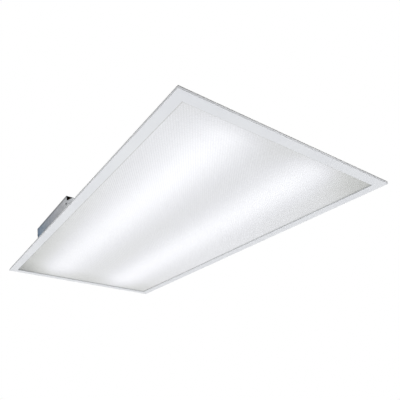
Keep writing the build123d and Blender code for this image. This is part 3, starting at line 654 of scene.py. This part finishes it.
def headCaps(bm):
    # on each solid, the largest round face that nothing stands in front of
    caps, seen = [], set()
    for vert in bm.verts:
        if vert in seen:
            continue
        island = islandOf(vert)
        seen |= island
        discs = []
        for face in {f for v in island for f in v.link_faces if len(f.verts) >= fastener["leastSides"]}:
            front = max(v.co.dot(face.normal) for v in island)
            if face.verts[0].co.dot(face.normal) > front - fastener["proud"]:
                discs.append(face)
        if discs:
            caps.append(max(discs, key=lambda f: f.calc_area()))
    return caps


def cutHeads(bm, roundBy, socket, depth, lobe):
    rims = {edge for cap in headCaps(bm) for edge in cap.edges}
    bmesh.ops.bevel(bm, geom=list(rims), offset=roundBy, offset_type="OFFSET", affect="EDGES",
                    segments=fastener["roundSteps"], profile=0.5, material=-1, clamp_overlap=True)
    bm.normal_update()
    for cap in headCaps(bm):
        middle = cap.calc_center_median()
        arm = cap.verts[0].co - middle
        start, side = arm.normalized(), cap.normal.cross(arm).normalized()
        bmesh.ops.inset_individual(bm, faces=[cap], thickness=arm.length * (1 - socket))
        for vert in cap.verts:
            out = vert.co - middle
            angle = math.atan2(out.dot(side), out.dot(start))
            vert.co = middle + out * (1 + lobe * math.cos(fastener["lobes"] * angle))
        bmesh.ops.inset_individual(bm, faces=[cap], thickness=fastener["draft"], depth=-depth)


def sixLobeScrews(bm):
    cutHeads(bm, fastener["round"], fastener["socket"], fastener["socketDepth"], fastener["lobe"])


def blindRivets(bm):
    cutHeads(bm, fastener["rivetRound"], fastener["rivetDimple"], fastener["dimpleDepth"], 0.0)


cadMesh = {                  # how a CAD solid's triangles are read
    "join": 0.001 * mm,      # corners this close are one
    "flat": 0.008,           # triangles that turn by less, in radians, are one face
    "sharp": 0.6,            # an edge that turns by more, in radians, is a real one
}


def softened(width, segments=2):
    # rounds every sharp edge
    def work(bm):
        sharp = [e for e in bm.edges if e.is_manifold and e.calc_face_angle(0) > cadMesh["sharp"]]
        bmesh.ops.bevel(bm, geom=sharp, offset=width, offset_type="OFFSET", affect="EDGES",
                        segments=segments, profile=0.5, material=-1, clamp_overlap=True)
    return work


diode = {
    "down": -0.99,           # a face that looks down at least this squarely is its window
    "round": 0.12 * mm,
    "roundSteps": 1,
    "wall": 0.35 * mm,       # moulded cup round the phosphor
    "slope": 0.1 * mm,
    "sunk": 0.15 * mm,
}


def diodePackages(bm):
    softened(diode["round"], diode["roundSteps"])(bm)
    bm.normal_update()
    windows = [f for f in bm.faces if f.normal.z < diode["down"]]
    bmesh.ops.inset_individual(bm, faces=windows, thickness=diode["wall"])
    bmesh.ops.inset_individual(bm, faces=windows, thickness=diode["slope"], depth=-diode["sunk"])
    for face in windows:
        face.material_index = 1


driverCan = {
    "round": 1.0 * mm,
    "roundSteps": 3,
    "panelInset": 4 * mm,    # a panel is pressed into each broad side
    "panelSlope": 0.8 * mm,
    "panelDepth": 0.5 * mm,
    "broad": 2500 * mm * mm,  # least area of a broad side
}


def driverShell(bm):
    softened(driverCan["round"], driverCan["roundSteps"])(bm)
    bm.normal_update()
    broad = [f for f in bm.faces if f.calc_area() > driverCan["broad"]]
    bmesh.ops.inset_individual(bm, faces=broad, thickness=driverCan["panelInset"])
    bmesh.ops.inset_individual(bm, faces=broad, thickness=driverCan["panelSlope"],
                               depth=-driverCan["panelDepth"])


splice = {
    "endwise": 0.95,         # how squarely a port's face looks along the light
    "endArea": 20 * mm * mm,  # least area of such a face
    "wall": 1.1 * mm,        # round each wire port
    "portDepth": 1.2 * mm,
    "portSlope": 0.2 * mm,
    "round": 0.35 * mm,
}


def spliceBodies(bm):
    ends = [f for f in bm.faces
            if abs(f.normal.x) > splice["endwise"] and f.calc_area() > splice["endArea"]]
    bmesh.ops.inset_individual(bm, faces=ends, thickness=splice["wall"])
    bmesh.ops.inset_individual(bm, faces=ends, thickness=splice["portSlope"], depth=-splice["portDepth"])
    softened(splice["round"])(bm)


def remake(nodeName, materials, work=None):
    # a copy of the CAD solid with its triangles merged back into faces, then worked on and shaded smooth
    bodies = frame["record"]["behaviour"]["bodies"]
    body = next(b for b, members in bodies.items() if nodeName in members)
    bm = bmesh.new()
    bm.from_mesh(nodes[nodeName].data)
    bmesh.ops.remove_doubles(bm, verts=bm.verts, dist=cadMesh["join"])
    if work:
        bmesh.ops.dissolve_limit(bm, angle_limit=cadMesh["flat"], verts=bm.verts, edges=bm.edges)
        work(bm)
    bmesh.ops.recalc_face_normals(bm, faces=bm.faces)
    for face in bm.faces:
        face.smooth = True
    piece = pieceFrom(bm, nodeName + "_piece", body, materials, nodeName)
    piece.data.set_sharp_from_angle(angle=cadMesh["sharp"])


places = ["near_left", "far_left", "near_right", "far_right"]
remakes = [                  # slot, materials, work and nodes
    ("zinc_fixings", [brightZinc], sixLobeScrews, ["board_screws", "driver_screws", "lid_screw"]),
    ("zinc_fixings", [darkCoverScrewMetal], sixLobeScrews, ["cover_screws"]),
    ("grid_clip_steel", [clipZinc], sixLobeScrews, ["grid_screw_" + p for p in places]),
    ("ground_green", [greenZinc], sixLobeScrews, ["ground_screw"]),
    ("zinc_fixings", [brightZinc], blindRivets, ["end_plate_rivets"]),
    ("zinc_fixings", [brightZinc], softened(0.12 * mm), ["lens_clips", "corner_keys", "lid_hinge_pin",
                                                         "door_hinge_pins"]),
    ("zinc_fixings", [brightZinc], softened(0.1 * mm), ["rim_hinge_leaves", "door_hinge_leaves"]),
    ("grid_clip_steel", [clipZinc], softened(0.2 * mm), ["grid_clip_" + p for p in places]),
    ("spring_steel", [springSteel], softened(0.08 * mm), ["catch_springs", "catch_blades"]),
    ("diode_lit", [packageWhite, phosphorGel], diodePackages, ["diodes_left", "diodes_right"]),
    ("white_nylon", [whiteNylon], softened(0.3 * mm), ["row_connectors", "cable_clips"]),
    ("cable_white", [whiteSheath], None, ["row_cable", "feed_cable", "neutral_lead"]),
    ("lead_black", [blackSheath], None, ["line_lead"]),
    ("lead_green", [greenSheath], None, ["ground_lead"]),
    ("grommet_rubber", [blackRubber], None, ["cable_grommet"]),
    ("bumper_rubber", [foamRubber], softened(0.4 * mm), ["door_bumpers"]),
    ("driver_metal", [powderCoatedDriver], driverShell, ["driver_case"]),
    ("splice_plastic", [splicePlastic], spliceBodies, ["splice_connectors"]),
]
for slotName, materials, work, names in remakes:
    for name in names:
        remake(name, materials, work)
print("small parts made")

finishes = [                 # sheet metal and boards keep their CAD shape
    (powderCoatedFrame, ["door_rail_left", "door_rail_right", "door_rail_near", "door_rail_far"]),
    (powderCoatedHousing, ["housing_body", "end_plate_near", "end_plate_far"]),
    (powderCoatedDriver, ["driver_plate"]),
    (galvanisedCover, ["compartment_cover"]),
    (galvanisedSheet, ["compartment_end_near", "compartment_end_far", "access_lid", "lid_hinge_leaf"]),
    (maskedBoard, ["light_boards_left", "light_boards_right"]),
]
for material, names in finishes:
    for name in names:
        nodes[name].data.materials.clear()
        nodes[name].data.materials.append(material)
print("sheet metal finished")
